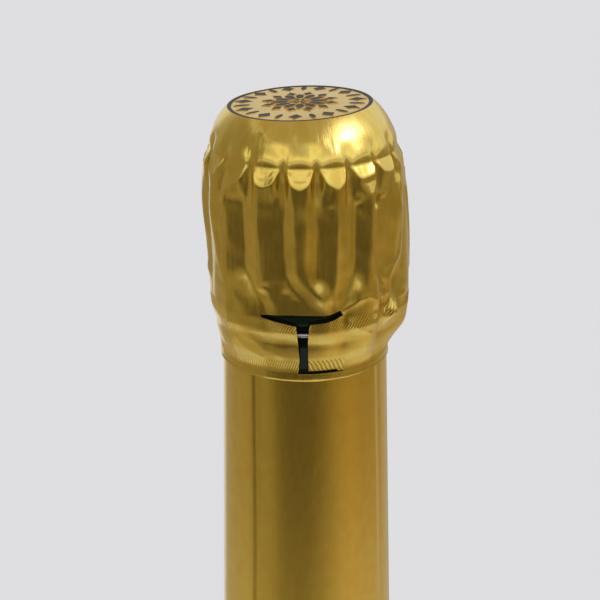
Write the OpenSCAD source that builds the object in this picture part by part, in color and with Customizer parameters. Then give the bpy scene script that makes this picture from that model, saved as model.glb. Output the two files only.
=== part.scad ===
// Sealed 75 cl champagne bottle under a gold foil hood.
// The origin is the middle of the base's resting ring, and +Z runs up the bottle.
// The tear tab's gap faces -Y. Angles are azimuths about +Z, from +X.
// Heights named "above the lip" are measured from the top of the bare glass.

/* [Glass] */
// Height of the bare glass, base to lip
bottle_h = 300; // [294:1:306]
// Outside diameter of the body
body_d = 88.5; // [86:0.5:90]
// Thickness of the body's wall
wall = 4.8; // [4:0.1:5.4]
// Diameter of the mouth's bore
bore_d = 17.6; // [17.2:0.1:18]
// Outside diameter of the neck under the wire groove
neck_d = 28.1; // [27.8:0.1:28.4]
// Diameter of the ring that the wires hook under
ring_d = 30.4; // [30:0.1:30.6]
// Height where the body ends and the shoulder begins
body_top = 137; // [132:1:142]
// Height of the punt, the hollow under the base
punt_h = 30; // [24:1:36]
// Depth of the wine's surface below the lip
fill_depth = 88; // [76:1:96]

/* [Cork] */
// Depth of the cork in the mouth
cork_depth = 25; // [22:0.5:26]
// Diameter of the cork's head
cork_head_d = 30.6; // [30:0.1:30.8]
// Thickness of each disc of whole cork
disc_t = 6; // [5:0.5:7]

/* [Wire hood] */
// Diameter of the cage's wire
cage_wire_d = 0.9; // [0.8:0.05:0.95]
// Diameter of the belt's wire
belt_wire_d = 1.1; // [1:0.05:1.15]
// Azimuth of the folded wire loop
loop_at = -5; // [-25:1:-5]

/* [Foil] */
// Wall of the modelled foil hood
foil_t = 0.35; // [0.3:0.05:0.4]
// Number of pleats round the hood
pleats = 19; // [16:1:22]
// Depth of a pleat, valley to ridge
pleat_depth = 0.7; // [0.3:0.05:0.8]
// Angle of the tear tab
tab_angle = 22; // [16:1:26]
// Angle of the open gap beside the tab
gap_angle = 6; // [4:0.5:8]

/* [Labels] */
// Width of the front label, along the glass
front_label_w = 92; // [70:1:110]
// Height of the front label
front_label_h = 70; // [50:1:80]

/* [Hidden] */
STRIP_PARTS = 7;
STRIP_NAMES = [for (k = [1 : STRIP_PARTS]) str("strip_", k)];

lip = bottle_h;
body_r = body_d / 2;
bore_r = bore_d / 2;
neck_r = neck_d / 2;
ring_r = ring_d / 2;

// Base: the flat ring it rests on, and the heel round it
rest_in_r = 33;
rest_out_r = 36.5;
heel_h = 9;
punt_t = 10;
floor_h = 15;

// Neck: it widens slowly down to the shoulder
neck_top = lip - 23;
neck_low = lip - 79;
neck_low_r = 15.35;
shoulder_pull = 21;

// Mouth: wire groove, ring, recess and bead, as heights above the lip
groove_r = 13;
groove_low = -19.6;
ring_low = -15.4;
ring_top = -10.4;
ring_round = 1.2;
recess_r = 13.1;
bead_r = 14.2;
bead_low = -7.2;
bead_round = 1;
lip_round = 2.2;
bore_chamfer = 0.6;
bore_straight = 27;

// Clearances
glass_gap = 0.05;
cork_gap = 0.08;
label_gap = 0.03;

// Cork: heights above the lip
cork_top = 18.8;
cork_r = bore_r - cork_gap;
cork_head_r = cork_head_d / 2;

// Cage: four legs of twisted wire, a quarter turn apart, beside the loop
leg_at = [for (k = [0 : 3]) loop_at + 45 + 90 * k];
cage_wire_r = cage_wire_d / 2;
belt_wire_r = belt_wire_d / 2;
hoop_r = 14.3;
hoop_h = 12.9;
leg_top = 12.4;
leg_low = -14.8;
leg_turns = 6;
leg_strand = cage_wire_r + 0.045;
belt_h = -17.05;
belt_r = 14.6;
belt_dip = 1;
belt_out = 2.7;
eyelet_r = belt_wire_r + cage_wire_r + 0.08;

// Loop: the belt's ends, twisted into a stem and opened into a ring, lying flat against the hood
stem_r = 16.42;
stem_low = -16.3;
stem_top = -10.5;
stem_turns = 1.5;
stem_strand = belt_wire_r + 0.05;
stem_foot = 1.1;
loop_w = 9;
loop_h = 11;

// Foil: edges of the hood, the tear strip and the rim, as heights above the lip
hood_low = -12.9;
strip_top = -13.1;
strip_low = -23.4;
rim_top = -23.6;
rim_low = -25;
sleeve_top = -24;
sleeve_t = 0.25;
kerf = 0.7;
valley_at = -102.1;
gap_at = -91.3;
tab_start = gap_at + gap_angle / 2;
root_end = gap_at + 360 - gap_angle / 2;
part_angle = (root_end - tab_start - tab_angle) / (STRIP_PARTS + 1);
columns = 10;
strip_rows = 6;
torn_depth = 1.5;
torn_angle = 24;
tab_lift = 0.25;

// Labels
label_t = 0.16;
label_z = 83;
label_corner = 5;
back_label_w = 58;
back_label_h = 46;

GLASS = [0.05, 0.09, 0.05];
GOLD = [0.78, 0.62, 0.27];
PAPER = [0.93, 0.89, 0.78];
CORK = [0.76, 0.60, 0.42];
WIRE = [0.66, 0.66, 0.68];

$fn = 96;

// Points along a cubic curve from a to d, pulled towards b and c
function curve(a, b, c, d, from = 0, to = 1, steps = 14) =
    [for (i = [0 : steps])
        let (t = from + (to - from) * i / steps, u = 1 - t)
        u * u * u * a + 3 * u * u * t * b + 3 * u * t * t * c + t * t * t * d];

// Points along an arc in the profile's plane, a height above the lip being lifted to its place
function arc(centre_r, centre_h, r, from, to, steps = 6) =
    [for (i = [0 : steps])
        let (a = from + (to - from) * i / steps)
        [centre_r + r * cos(a), lip + centre_h + r * sin(a)]];

function unit(v) = v / norm(v);
function last(list) = list[len(list) - 1];
function reversed(list) = [for (i = [len(list) - 1 : -1 : 0]) list[i]];

// A profile moved outwards by d, along its own normals
function moved_out(line, d) =
    [for (i = [0 : len(line) - 1])
        let (way = unit(line[min(i + 1, len(line) - 1)] - line[max(i - 1, 0)]))
        line[i] + d * [way[1], -way[0]]];

// The shoulder's outside, from 0 at the body to 1 at the neck
function shoulder(from = 0, to = 1, steps = 14) =
    let (slope = (neck_low_r - neck_r) / (neck_top - neck_low))
    curve([body_r, body_top], [body_r, body_top + shoulder_pull],
          [neck_low_r + slope * shoulder_pull, neck_low - shoulder_pull], [neck_low_r, neck_low],
          from, to, steps);

// The outside of the glass, from the resting ring up to the bore's edge
function outside() =
    concat(
        [for (a = [0 : 10 : 90]) [rest_out_r + (body_r - rest_out_r) * sin(a), heel_h * (1 - cos(a))]],
        shoulder(),
        [[neck_r, neck_top], [groove_r, lip + groove_low], [groove_r, lip + ring_low - 0.4]],
        arc(ring_r - ring_round, ring_low + ring_round, ring_round, -90, 0),
        arc(ring_r - ring_round, ring_top - ring_round, ring_round, 0, 90),
        [[recess_r, lip + ring_top], [recess_r, lip + bead_low]],
        arc(bead_r - bead_round, bead_low + bead_round, bead_round, -90, 0),
        arc(bead_r - lip_round, -lip_round, lip_round, 0, 90),
        [[bore_r + bore_chamfer, lip]]);

// The inside of the glass, from the bore down to the tip of the punt, drawn in by a gap
function inside_wall(gap) =
    concat(
        [[bore_r - gap, lip - bore_straight], [bore_r + 0.6 - gap, lip - 48]],
        reversed(curve([body_r - wall - gap, body_top], [body_r - wall - gap, body_top + shoulder_pull],
                       [neck_low_r - 3.9 - gap, neck_low - shoulder_pull],
                       [neck_low_r - 4.9 - gap, neck_low])),
        [[body_r - wall - gap, floor_h + 12]],
        curve([body_r - wall - gap, floor_h + 12], [body_r - wall - gap, floor_h + gap],
              [36, floor_h - 3 + gap], [31, floor_h + gap], 1 / 8, 1, 7));

function inside_punt(gap) =
    reversed(curve([0, punt_h + punt_t + gap], [14, punt_h + punt_t + gap], [22, floor_h + 6 + gap],
                   [31, floor_h + gap], 0, 7 / 8, 7));

function under_punt() =
    curve([0, punt_h], [14, punt_h], [22, 3], [rest_in_r, 0]);

module bottle_glass() {
    color(GLASS)
        rotate_extrude()
            polygon(concat(under_punt(), outside(), [[bore_r, lip - bore_chamfer]],
                           inside_wall(0), inside_punt(0)));
}

// The wine fills the glass from the punt up into the neck
module wine() {
    inner = inside_wall(glass_gap);
    surface = lip - fill_depth;
    rows = concat([for (p = inner) if (p[1] < surface) p], inside_punt(glass_gap));
    above = last([for (p = inner) if (p[1] >= surface) p]);
    edge_r = above[0] + (rows[0][0] - above[0]) * (above[1] - surface) / (above[1] - rows[0][1]);
    color([0.85, 0.72, 0.35, 0.6])
        rotate_extrude()
            polygon(concat([[0, surface], [edge_r, surface]], rows));
}

// The agglomerated cork: a shank in the bore, and a head squeezed to a mushroom above it
module cork_body() {
    shank_low = -cork_depth + 2 * disc_t;
    head = concat(
        curve([11.8, cork_gap], [14, cork_gap], [cork_head_r, 3], [cork_head_r, 7], steps = 6),
        curve([cork_head_r, 7], [cork_head_r, 10], [13.75, 11.6], [13.75, 12.6], 1 / 6, 1, 5),
        [[13.75, 13.4]],
        curve([13.7, 14.4], [13.3, 17], [12.4, cork_top], [11, cork_top], steps = 4));
    color(CORK)
        translate([0, 0, lip])
            rotate_extrude()
                polygon(concat([[0, shank_low], [cork_r, shank_low], [cork_r, cork_gap]], head,
                               [[0, cork_top]]));
}

// A disc of whole cork glued under the shank, counted downwards
module cork_disc(index) {
    color(CORK * 1.1)
        translate([0, 0, lip - cork_depth + (2 - index) * disc_t])
            cylinder(r = cork_r, h = disc_t);
}

// The pressed metal cap on the cork, with its flat face, its skirt and a wall of 0.35
module plaque() {
    face = [[0, 19.9], [7, 19.85], [11, 19.6], [12.2, 19.3], [12.9, 18.3], [13.9, 16.6], [14.5, 15.2],
            [14.9, 13.8], [15, 13.5]];
    under = [[14.6, 13.5], [14.5, 13.9], [14.1, 15.1], [13.5, 16.6], [12.55, 18.2], [12, 18.95],
             [0, 18.95]];
    color(GOLD)
        translate([0, 0, lip])
            rotate_extrude()
                polygon(concat(face, under));
}

// A tube of a wire's radius along a path. Each ring stands square to the path and turns with a side vector.
module wire_tube(path, sides_to, r, sides = 6) {
    rings = len(path);
    points = [for (i = [0 : rings - 1])
        let (along = unit(path[min(i + 1, rings - 1)] - path[max(i - 1, 0)]),
             across = unit(cross(along, sides_to[i])),
             up = cross(across, along))
        for (k = [0 : sides - 1])
            path[i] + r * (cos(360 * k / sides) * across + sin(360 * k / sides) * up)];
    walls = [for (i = [0 : rings - 2], k = [0 : sides - 1])
        let (a = i * sides + k, b = i * sides + (k + 1) % sides)
        each [[a, b, b + sides], [a, b + sides, a + sides]]];
    end = (rings - 1) * sides;
    caps = [for (k = [1 : sides - 2]) each [[0, k + 1, k], [end, end + k, end + k + 1]]];
    polyhedron(points, concat(walls, caps));
}

// Radius of a leg's middle line: it hugs the cork's head, then the glass ring
function leg_r(h) = lookup(h, [[-14.8, 16.2], [-10, 16.25], [3, 16.35], [8, 16.35], [12.4, 15.25]]);

// One wire of the cage: down a twisted leg, round the belt as an eyelet, and up again
module cage_leg(at) {
    outward = [cos(at), sin(at), 0];
    aside = [-sin(at), cos(at), 0];
    steps = 42;
    strand = [for (i = [0 : steps])
        let (h = leg_top + (leg_low - leg_top) * i / steps, turn = 90 + 360 * leg_turns * i / steps)
        [h, leg_strand * cos(turn), leg_strand * sin(turn)]];
    down = [for (s = strand)
        (leg_r(s[0]) + s[1]) * outward + s[2] * aside + [0, 0, lip + s[0]]];
    back = [for (s = reversed(strand))
        (leg_r(s[0]) - s[1]) * outward - s[2] * aside + [0, 0, lip + s[0]]];
    eyelet = [for (a = [60 : -25 : -290])
        (belt_r + eyelet_r * cos(a)) * outward + leg_strand * (a + 115) / 175 * aside
        + [0, 0, lip + belt_h + eyelet_r * sin(a)]];
    path = concat(down, eyelet, back);
    wire_tube(path, [for (p = path) aside], cage_wire_r);
}

module wire_cage() {
    color(WIRE) {
        translate([0, 0, lip + hoop_h])
            rotate_extrude()
                translate([hoop_r, 0])
                    circle(r = cage_wire_r, $fn = 24);
        for (at = leg_at)
            cage_leg(at);
    }
}

// Radius of the belt: pulled in to the glass between the eyelets, and out to the stem at its ends
function belt_at(a) =
    belt_r - belt_dip / 2 * (1 - cos(4 * (a - leg_at[0]))) + belt_out * bump(a, loop_at, 15);

// The belt: one wire round the neck under the ring, open where its ends turn into the stem
module belt_wire() {
    open = 5.6;
    angles = [for (i = [0 : 60]) loop_at + open + (360 - 2 * open) * i / 60];
    path = [for (a = angles) [belt_at(a) * cos(a), belt_at(a) * sin(a), lip + belt_h]];
    color(WIRE)
        wire_tube(path, [for (p = path) [0, 0, 1]], belt_wire_r);
}

// The belt's two ends, twisted into a stem and opened into the loop that fingers turn
module twist_loop() {
    outward = [cos(loop_at), sin(loop_at), 0];
    aside = [-sin(loop_at), cos(loop_at), 0];
    steps = 12;
    strand = [for (i = [0 : steps])
        [stem_low + (stem_top - stem_low) * i / steps, 90 + 360 * stem_turns * i / steps]];
    up = [for (s = strand)
        (stem_r + stem_strand * cos(s[1])) * outward + stem_strand * sin(s[1]) * aside + [0, 0, lip + s[0]]];
    down = [for (s = reversed(strand))
        (stem_r - stem_strand * cos(s[1])) * outward - stem_strand * sin(s[1]) * aside + [0, 0, lip + s[0]]];
    feet = [for (side = [1, -1]) stem_r * outward + side * stem_foot * aside + [0, 0, lip + belt_h]];
    middle = stem_top + loop_h / 2 + 0.6;
    ring = [for (i = [0 : 20])
        let (a = 290 - 320 * i / 20, turn = loop_at - loop_w / 2 * cos(a) / stem_r * 180 / PI)
        [stem_r * cos(turn), stem_r * sin(turn), lip + middle + loop_h / 2 * sin(a)]];
    path = concat([feet[0]], up, ring, down, [feet[1]]);
    color(WIRE)
        wire_tube(path, [for (p = path) outward], belt_wire_r);
}

function angle_apart(a, b) = let (d = ((a - b) % 360 + 540) % 360 - 180) d;
function bump(a, at, width) = exp(-pow(angle_apart(a, at) / width, 2));
function leg_bump(a, width) = max([for (at = leg_at) bump(a, at, width)]);

// The foil's outlines as [height above the lip, radius]: on cork and glass, over a leg and over the loop
function foil_plain(h) = lookup(h, [
    [-23, 14.75], [-21.3, 15.1], [-19.5, 15.35], [-17, 15.75], [-15, 16.2], [-10, 16.5], [-5, 17], [1, 17.3],
    [5, 17.2], [8.2, 16.9], [9.6, 16.55], [11, 16.2], [12.4, 15.85]]);
function foil_over_leg(h) = lookup(h, [
    [-23, 14.75], [-21.4, 15.5], [-19.8, 16.25], [-18.4, 16.65], [-16.6, 16.95], [-15.2, 17.6], [8.2, 17.72],
    [9.6, 17.45], [11, 17.05], [12.4, 16.6]]);
function foil_over_loop(h) = lookup(h, [
    [-23, 14.75], [-22.5, 14.95], [-21.3, 15.6], [-19.8, 17.15], [-18, 18.1], [-10, 18.2], [-2, 18.15],
    [3, 17.7], [7, 17.2], [9.6, 16.6]]);

// The pleats are deepest round the cork's head and fade to nothing at both ends
function pleat_share(h) =
    lookup(h, [[-23, 0], [-18, 0.35], [-10, 0.8], [0, 1], [8.4, 1], [11, 0.15], [12, 0]]);

// How far the foil stands from the axis
function foil_r(a, h) =
    let (plain = foil_plain(h),
         leg = max(0, foil_over_leg(h) - plain) * leg_bump(a, 8),
         loop = max(0, foil_over_loop(h) - plain) * bump(a, loop_at, 26),
         pleat = pleat_depth / 2 * pleat_share(h) * cos(pleats * (a - valley_at)))
    plain + max(leg, loop) - pleat * (1 - leg_bump(a, 12)) * (1 - bump(a, loop_at, 22));

// A thin shell with a row of points for each azimuth, each point as
// [radius, height, wall thickness inwards, wall thickness downwards, azimuth]
module foil_shell(rows, closed = false) {
    count = len(rows);
    levels = len(rows[0]);
    outer = [for (row = rows, p = row) [p[0] * cos(p[4]), p[0] * sin(p[4]), lip + p[1]]];
    inner = [for (row = rows, p = row)
        let (r = p[0] - p[2])
        [r * cos(p[4]), r * sin(p[4]), lip + p[1] - p[3]]];
    shift = len(outer);
    spans = closed ? count : count - 1;
    quads = concat(
        [for (i = [0 : spans - 1], j = [0 : levels - 2])
            let (a = i * levels + j, b = ((i + 1) % count) * levels + j)
            each [[a, b, b + 1, a + 1], [shift + a + 1, shift + b + 1, shift + b, shift + a]]],
        [for (i = [0 : spans - 1])
            let (a = i * levels, b = ((i + 1) % count) * levels, top = levels - 1)
            each [[a, shift + a, shift + b, b], [a + top, b + top, shift + b + top, shift + a + top]]],
        closed ? [] : [for (j = [0 : levels - 2])
            let (z = (count - 1) * levels)
            each [[j, j + 1, shift + j + 1, shift + j],
                  [z + j, shift + z + j, shift + z + j + 1, z + j + 1]]]);
    triangles = [for (q = quads) each [[q[0], q[2], q[1]], [q[0], q[3], q[2]]]];
    polyhedron(concat(outer, inner), triangles);
}

// The hood over the cork's head, open round the plaque's face
module foil_hood() {
    turns = pleats * 6;
    angles = [for (i = [0 : turns - 1]) gap_at + 360 * i / turns];
    heights = [hood_low, -10, -6, 0, 5, 8.2, 9.6, 11, 12.4];
    crown = [[15.5, 13.8, 0.33, 0.1], [15.1, 15.2, 0.3, 0.15], [14.5, 16.6, 0.28, 0.2],
             [13.55, 18.1, 0.25, 0.24], [12.95, 18.95, 0.2, 0.28], [12.4, 19.55, 0, foil_t]];
    rows = [for (a = angles) concat(
        [for (h = heights) [foil_r(a, h), h, foil_t, 0, a]],
        [for (c = crown) concat(c, a)])];
    color(GOLD)
        foil_shell(rows, closed = true);
}

// How far the strip's top edge has sunk where the foil has torn open beside the gap
function torn(a) = torn_depth * max(0, 1 - abs(angle_apart(a, gap_at)) / torn_angle);

// A length of the tear strip between two azimuths, down to a height above the lip
module strip_length(from, to, low = strip_low) {
    inset = kerf / 2;
    angles = [for (i = [0 : columns]) from + inset + (to - from - 2 * inset) * i / columns];
    rows = [for (a = angles)
        let (top = strip_top - torn(a))
        [for (i = [0 : strip_rows])
            let (h = low + (top - low) * i / strip_rows)
            [foil_r(a, h), h, foil_t, 0, a]]];
    color(GOLD)
        foil_shell(rows);
}

// The strip's loose end, already torn free of the rim
module tear_tab() {
    strip_length(tab_start, tab_start + tab_angle, low = strip_low + tab_lift);
}

// Lengths of the strip are counted from the root, against the sense of the azimuths
module strip_part(index) {
    to = root_end - part_angle * index;
    strip_length(to - part_angle, to);
}

// A band that stays on the neck under the strip's lower tear line
module foil_rim() {
    color(GOLD)
        translate([0, 0, lip])
            rotate_extrude()
                polygon([[14.42, rim_low], [14.72, rim_low], [14.75, rim_top], [14.42, rim_top]]);
}

// The long sleeve down the neck and onto the shoulder
module foil_neck() {
    side = concat(shoulder(0.56, 1, 10), [[neck_r + 0.02, lip + sleeve_top]]);
    color(GOLD)
        rotate_extrude()
            polygon(concat(moved_out(side, glass_gap), reversed(moved_out(side, glass_gap + sleeve_t))));
}

// A paper band over the sleeve's lower edge
module collar_label() {
    side = shoulder(0.5, 0.64, 6);
    over_foil = glass_gap + sleeve_t + label_gap;
    color(PAPER)
        rotate_extrude()
            polygon(concat(moved_out(side, over_foil), reversed(moved_out(side, over_foil + label_t))));
}

module rounded_panel(w, h, r) {
    square([w - 2 * r, h], center = true);
    square([w, h - 2 * r], center = true);
    for (x = [-1, 1], y = [-1, 1])
        translate([x * (w / 2 - r), y * (h / 2 - r)])
            circle(r = r, $fn = 48);
}

// A paper label wrapped on the body, facing -Y, with its width measured along the glass
module body_label(w, h) {
    inner_r = body_r + label_gap;
    flat_w = 2 * inner_r * sin(w / 2 / inner_r * 180 / PI);
    color(PAPER)
        translate([0, 0, label_z])
            intersection() {
                difference() {
                    cylinder(r = inner_r + label_t, h = h, center = true);
                    cylinder(r = inner_r, h = h + 2, center = true);
                }
                rotate([90, 0, 0])
                    linear_extrude(height = body_r + 5)
                        rounded_panel(flat_w, h, label_corner);
            }
}

module front_label() {
    body_label(front_label_w, front_label_h);
}

module back_label() {
    rotate([0, 0, 180])
        body_label(back_label_w, back_label_h);
}

bottle_glass();
wine();
cork_body();
cork_disc(1);  // cork_disc_upper
cork_disc(2);  // cork_disc_lower
plaque();
wire_cage();
belt_wire();
twist_loop();
foil_hood();
strip_part(0);  // strip_root
for (k = [1 : STRIP_PARTS]) strip_part(k);
tear_tab();
foil_rim();
foil_neck();
collar_label();
front_label();
back_label();
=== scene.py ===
import math

import bpy
import numpy as np
from mathutils import Matrix, Vector


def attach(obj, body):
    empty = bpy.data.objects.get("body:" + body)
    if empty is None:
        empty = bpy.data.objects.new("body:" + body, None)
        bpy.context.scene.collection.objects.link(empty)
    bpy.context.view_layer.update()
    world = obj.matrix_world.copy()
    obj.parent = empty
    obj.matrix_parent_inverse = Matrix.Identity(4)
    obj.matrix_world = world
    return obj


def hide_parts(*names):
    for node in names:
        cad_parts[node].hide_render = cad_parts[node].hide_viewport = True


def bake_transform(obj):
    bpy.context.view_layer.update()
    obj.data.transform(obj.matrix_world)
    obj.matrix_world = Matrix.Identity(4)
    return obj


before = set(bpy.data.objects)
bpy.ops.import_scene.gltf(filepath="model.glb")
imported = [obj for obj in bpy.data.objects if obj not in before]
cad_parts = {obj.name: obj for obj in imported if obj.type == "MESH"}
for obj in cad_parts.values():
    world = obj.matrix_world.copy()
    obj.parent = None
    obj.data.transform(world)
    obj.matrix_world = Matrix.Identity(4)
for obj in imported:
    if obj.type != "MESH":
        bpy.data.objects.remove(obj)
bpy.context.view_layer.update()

# Camera: a 92 mm lens a quarter of a metre in front of the neck and looking down 21 degrees on the
# hood, with the half degree of roll that the photograph has.
MM = 0.001
camera_data = bpy.data.cameras.new("camera")
camera_data.lens = 92.16
camera_data.sensor_width = 36
camera_data.clip_start = 0.01
camera = bpy.data.objects.new("camera", camera_data)
bpy.context.scene.collection.objects.link(camera)
LOOK_DOWN, TURN, ROLL = 21.3, 0.168, -0.4
camera.matrix_world = (
    Matrix.Translation((0, -0.252, 0.3823))
    @ Matrix.Rotation(math.radians(TURN), 4, "Z")
    @ Matrix.Rotation(math.radians(90 - LOOK_DOWN), 4, "X")
    @ Matrix.Rotation(math.radians(ROLL), 4, "Z")
)
bpy.context.scene.camera = camera
bpy.context.scene.view_settings.view_transform = "Standard"


# Studio: a pale round table top in a pale room, a soft box above the camera, one high at the right,
# and curved grey cards round the table that glow with painted reflections of the room, which the foil mirrors and the
# camera doesn't see.
def nothing_selected():
    if bpy.context.mode != "OBJECT":
        bpy.ops.object.mode_set(mode="OBJECT")
    bpy.ops.object.select_all(action="DESELECT")


def new_material(name):
    material = bpy.data.materials.new(name)
    material.use_nodes = True
    tree = material.node_tree
    return material, tree, tree.nodes["Principled BSDF"]


def add_node(tree, kind, values=None, **settings):
    node = tree.nodes.new("ShaderNode" + kind)
    for key, value in settings.items():
        setattr(node, key, value)
    for key, value in (values or {}).items():
        if isinstance(value, bpy.types.NodeSocket):
            tree.links.new(value, node.inputs[key])
        else:
            node.inputs[key].default_value = value
    return node


def reckon(tree, operation, *values, clamp=False):
    node = tree.nodes.new("ShaderNodeMath")
    node.operation = operation
    node.use_clamp = clamp
    for socket, value in zip(node.inputs, values):
        if isinstance(value, bpy.types.NodeSocket):
            tree.links.new(value, socket)
        else:
            socket.default_value = value
    return node.outputs[0]


def ramp_of(tree, value, stops):
    node = tree.nodes.new("ShaderNodeValToRGB")
    ramp = node.color_ramp
    while len(ramp.elements) < len(stops):
        ramp.elements.new(0.5)
    for element, (place, colour) in zip(ramp.elements, stops):
        element.position = place
        shade = colour if isinstance(colour, tuple) else (colour, colour, colour)
        element.color = (*shade, 1)
    tree.links.new(value, node.inputs[0])
    return node.outputs[0]


ROOM_SEEN = (0.735, 0.735, 0.75, 1)
ROOM_LIGHT = (0.66, 0.66, 0.67, 1)
world = bpy.data.worlds.new("room")
bpy.context.scene.world = world
world.use_nodes = True
room = world.node_tree
room.nodes.clear()
path = add_node(room, "LightPath")
seen = reckon(room, "MAXIMUM", path.outputs["Is Camera Ray"], path.outputs["Is Glossy Ray"])
seen = reckon(room, "MAXIMUM", seen, path.outputs["Is Transmission Ray"])
wall = add_node(room, "MixRGB", {0: seen, 1: ROOM_LIGHT, 2: ROOM_SEEN}).outputs[0]
background = add_node(room, "Background", {"Color": wall})
room.links.new(background.outputs[0], add_node(room, "OutputWorld").inputs[0])


def toward(azimuth, rise, away):
    """A place seen from the hood at an azimuth and a rise in degrees, and the turn that faces it."""
    a, e = math.radians(azimuth), math.radians(rise)
    line = Vector((math.cos(e) * math.cos(a), math.cos(e) * math.sin(a), math.sin(e)))
    return Vector((0, 0, 0.31)) + line * away, line.to_track_quat("Z", "Y").to_matrix().to_4x4()


def soft_box(name, azimuth, rise, away, width, height, radiance, mirrored=0, cloth_width=0):
    """A lamp panel as bright as radiance, and the glowing cloth before it that metal mirrors."""
    place, turn = toward(azimuth, rise, away)
    lamp = bpy.data.lights.new(name, "AREA")
    lamp.shape = "RECTANGLE"
    lamp.size, lamp.size_y = width, height
    lamp.energy = radiance * math.pi * width * height
    holder = bpy.data.objects.new(name, lamp)
    bpy.context.scene.collection.objects.link(holder)
    holder.matrix_world = Matrix.Translation(place) @ turn
    holder.visible_glossy = False
    if not mirrored:
        return
    nothing_selected()
    bpy.ops.mesh.primitive_plane_add(size=1)
    cloth = bpy.context.object
    cloth.name = name + "_cloth"
    cloth.matrix_world = Matrix.Translation(place) @ turn @ Matrix.Diagonal((cloth_width, cloth_width * 0.7, 1, 1))
    bpy.ops.object.transform_apply(location=True, rotation=True, scale=True)
    material, tree, shader = new_material(name)
    tree.nodes.remove(shader)
    centred = add_node(tree, "VectorMath", {0: add_node(tree, "UVMap").outputs[0], 1: (0.5, 0.5, 0)},
                       operation="SUBTRACT")
    far = add_node(tree, "VectorMath", {0: centred.outputs[0]}, operation="LENGTH").outputs["Value"]
    share = ramp_of(tree, far, [(0, 1.0), (0.1, 1.0), (0.19, 0.42), (0.28, 0.13), (0.4, 0.035), (0.5, 0.0)])
    light = add_node(tree, "Emission", {"Color": (0.78, 0.74, 1.0, 1), "Strength": mirrored})
    clear = add_node(tree, "BsdfTransparent")
    mixed = add_node(tree, "MixShader", {0: share, 1: clear.outputs[0], 2: light.outputs[0]})
    tree.links.new(mixed.outputs[0], tree.nodes["Material Output"].inputs[0])
    cloth.data.materials.append(material)
    cloth.visible_camera = cloth.visible_diffuse = cloth.visible_shadow = False


soft_box("front_box", -84, 31, 0.9, 1.5, 0.42, 0.95)
soft_box("right_box", -14, 45, 1.0, 0.5, 0.5, 4.0, 7.5, 1.35)

nothing_selected()
bpy.ops.mesh.primitive_circle_add(vertices=128, radius=0.34, fill_type="NGON", location=(0, 0, 0))
table = bpy.context.object
table.name = "table_top"
table_material, tree, shader = new_material("pale_table")
speckle = add_node(tree, "TexNoise", {"Vector": add_node(tree, "TexCoord").outputs["Object"], "Scale": 40})
tree.links.new(ramp_of(tree, speckle.outputs["Fac"], [(0, 0.62), (1, 0.66)]), shader.inputs["Base Color"])
shader.inputs["Roughness"].default_value = 0.7
table.data.materials.append(table_material)


def painted_reflection_card(name, foot, radius, low, high, first, last, bands):
    """A curved card round the table between two azimuths that glows with a painted reflection, in bands of [height,
    colours by azimuth].
    """
    nothing_selected()
    bpy.ops.mesh.primitive_cone_add(vertices=180, radius1=foot, radius2=radius, depth=high - low,
                                    end_fill_type="NOTHING", location=(0, 0, (high + low) / 2))
    card = bpy.context.object
    card.name = name
    bpy.ops.object.transform_apply(location=True, rotation=True, scale=True)
    bpy.ops.object.mode_set(mode="EDIT")
    bpy.ops.mesh.select_all(action="DESELECT")
    bpy.ops.object.mode_set(mode="OBJECT")
    for face in card.data.polygons:
        azimuth = math.degrees(math.atan2(face.center.y, face.center.x))
        face.select = (azimuth - first) % 360 > last - first
    bpy.ops.object.mode_set(mode="EDIT")
    bpy.ops.mesh.delete(type="FACE")
    bpy.ops.object.mode_set(mode="OBJECT")
    material, tree, shader = new_material(name)
    tree.nodes.remove(shader)
    place = add_node(tree, "SeparateXYZ", {0: add_node(tree, "TexCoord").outputs["Object"]})
    angle = reckon(tree, "ARCTAN2", place.outputs["Y"], place.outputs["X"])
    turn = reckon(tree, "MULTIPLY_ADD", angle, 0.5 / math.pi, 0.5)
    shade, below = None, low
    for at, stops in bands:
        here = ramp_of(tree, turn, [((a + 180) / 360, colour) for a, colour in stops])
        if shade is not None:
            share = add_node(tree, "MapRange", {0: place.outputs["Z"], 1: below, 2: at},
                             interpolation_type="SMOOTHSTEP").outputs[0]
            here = add_node(tree, "MixRGB", {0: share, 1: shade, 2: here}).outputs[0]
        shade, below = here, at
    glow = add_node(tree, "Emission", {"Color": shade})
    tree.links.new(glow.outputs[0], tree.nodes["Material Output"].inputs[0])
    card.data.materials.append(material)
    card.visible_camera = card.visible_diffuse = card.visible_shadow = False


# Glow colours of the cards by azimuth: painted reflections of the table's side and edge, the room's lower and upper
# walls, its windows and a far wall, with a painted dark band in front.
TABLE_SIDE_GLOW = [
    (-180, (0.33, 0.27, 0.16)), (-164, (0.20, 0.17, 0.10)), (-151, (0.27, 0.23, 0.13)),
    (-138, (0.25, 0.21, 0.12)), (-125, (0.155, 0.128, 0.07)), (-113, (0.105, 0.085, 0.048)),
    (-86, (0.10, 0.08, 0.047)), (-72, (0.135, 0.105, 0.055)), (-60, (0.22, 0.165, 0.075)),
    (-45, (0.33, 0.24, 0.115)), (-26, (0.41, 0.29, 0.135)), (-5, (0.33, 0.24, 0.125)),
    (21, (0.38, 0.28, 0.155)), (45, (0.42, 0.35, 0.25)), (66, (0.42, 0.39, 0.33)),
    (144, (0.36, 0.31, 0.24)), (162, (0.33, 0.28, 0.18)), (180, (0.33, 0.27, 0.16))]
TABLE_EDGE_GLOW = [
    (-180, (0.46, 0.40, 0.30)), (-150, (0.38, 0.32, 0.22)), (-120, (0.27, 0.225, 0.14)),
    (-90, (0.25, 0.205, 0.13)), (-65, (0.40, 0.335, 0.23)), (-40, (0.54, 0.455, 0.35)),
    (0, (0.54, 0.46, 0.37)), (45, (0.46, 0.41, 0.33)), (66, (0.44, 0.41, 0.37)),
    (144, (0.42, 0.37, 0.30)), (180, (0.46, 0.40, 0.30))]
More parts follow.
